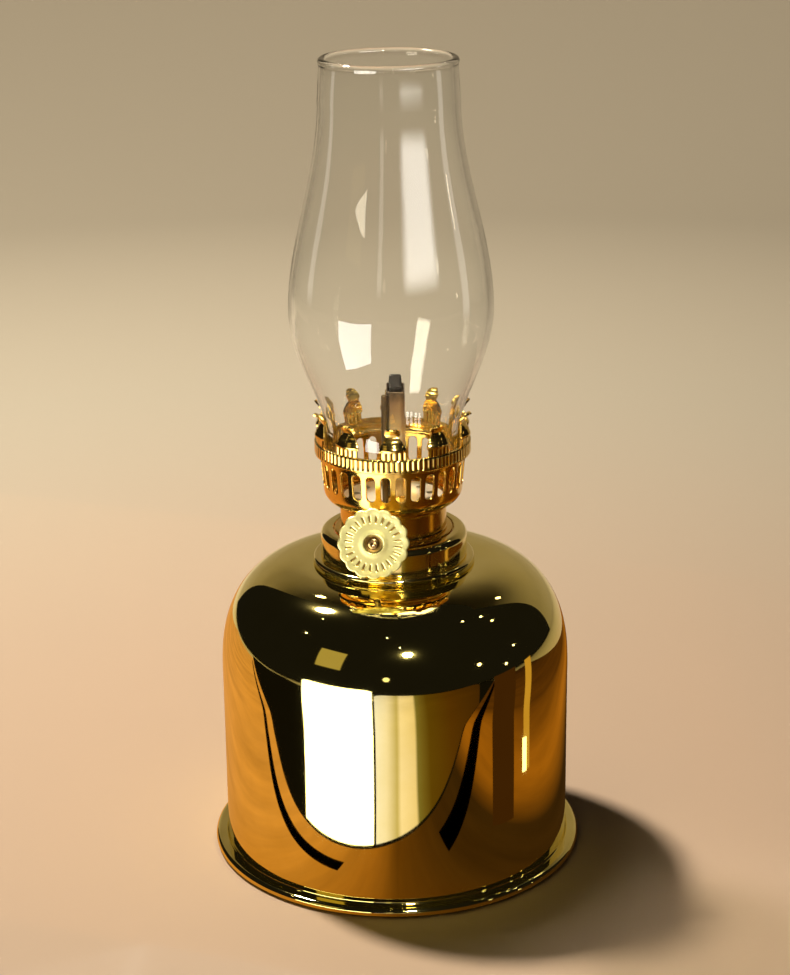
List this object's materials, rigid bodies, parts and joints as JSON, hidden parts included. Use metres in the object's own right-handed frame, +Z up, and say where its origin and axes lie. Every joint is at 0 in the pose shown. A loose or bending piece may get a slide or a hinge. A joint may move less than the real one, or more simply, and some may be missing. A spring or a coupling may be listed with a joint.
{
  "type": "oil lamp",
  "caption": "Table oil lamp: round metal tank with a rolled foot, screw-in flat-wick burner with a crown of prongs and a thumb wheel, and a bellied clear glass chimney.",
  "frame": {"origin": "centre of the foot ring's underside, on the surface that the lamp stands on", "axes": "+Z up along the tank's axis; the thumb wheel faces -Y"},
  "size_m": [0.085, 0.085, 0.1812],
  "materials": {
    "gold_plate": "mirror-polished gold-coloured plating",
    "lacquered_brass": "bright lacquered brass stampings",
    "plain_brass": "plain brass, a little dull",
    "tinned_brass": "thin pale brass, heat-dulled",
    "steel": "drawn wire and stamped steel",
    "fibre": "oil-soaked fibre washer",
    "cotton": "woven flat cotton",
    "burnt_cotton": "charred",
    "clear_glass": "clear blown glass, fire-polished rim"
  },
  "bodies": {
    "tank": {"tank_shell": "gold_plate", "base_pan": "gold_plate", "neck_collar": "gold_plate", "collar_backing_ring": "plain_brass"},
    "gasket": {"burner_gasket": "fibre"},
    "burner": {"threaded_base": "lacquered_brass", "burner_floor": "lacquered_brass", "burner_drum": "lacquered_brass", "shaft_bush": "lacquered_brass", "shaft_saddle": "plain_brass", "wick_tube": "tinned_brass", "vent_tube": "tinned_brass", "tube_ferrule": "lacquered_brass", "air_plate": "lacquered_brass", "gallery_basket": "lacquered_brass", "chimney_seat": "lacquered_brass", "prong_crown": "lacquered_brass"},
    "winder": {"winder_shaft": "steel", "spur_wheels": "steel", "stop_collar": "steel", "thumb_wheel": "lacquered_brass", "wheel_rivet": "plain_brass"},
    "wick": {"wick": "cotton", "burnt_wick_tip": "burnt_cotton"},
    "chimney": {"chimney": "clear_glass"}
  },
  "joints": [
    {"name": "burner_lift", "type": "slide", "parent": "tank", "child": "gasket", "axis": [0, 0, 1], "range_m": [0, 0.0061]},
    {"name": "burner_unscrew", "type": "hinge", "parent": "gasket", "child": "burner", "pos_m": [0, 0, 0.0762], "axis": [0, 0, 1], "range_deg": [0, 1080]},
    {"name": "winder_turn", "type": "hinge", "parent": "burner", "child": "winder", "pos_m": [-0.0044, -0.023, 0.0803], "axis": [0, -0.9848, 0.1736], "range_deg": [-107, 107]},
    {"name": "wick_slide", "type": "slide", "parent": "burner", "child": "wick", "axis": [0, 0, 1], "range_m": [-0.006, 0.006]},
    {"name": "chimney_lift", "type": "slide", "parent": "burner", "child": "chimney", "axis": [0, 0, 1], "range_m": [0, 0.05]}
  ],
  "couplings": [
    {"joint": "burner_lift", "follows": "burner_unscrew", "m_per_rad": 0.00031831},
    {"joint": "winder_turn", "follows": "wick_slide", "rad_per_m": 307.69}
  ]
}
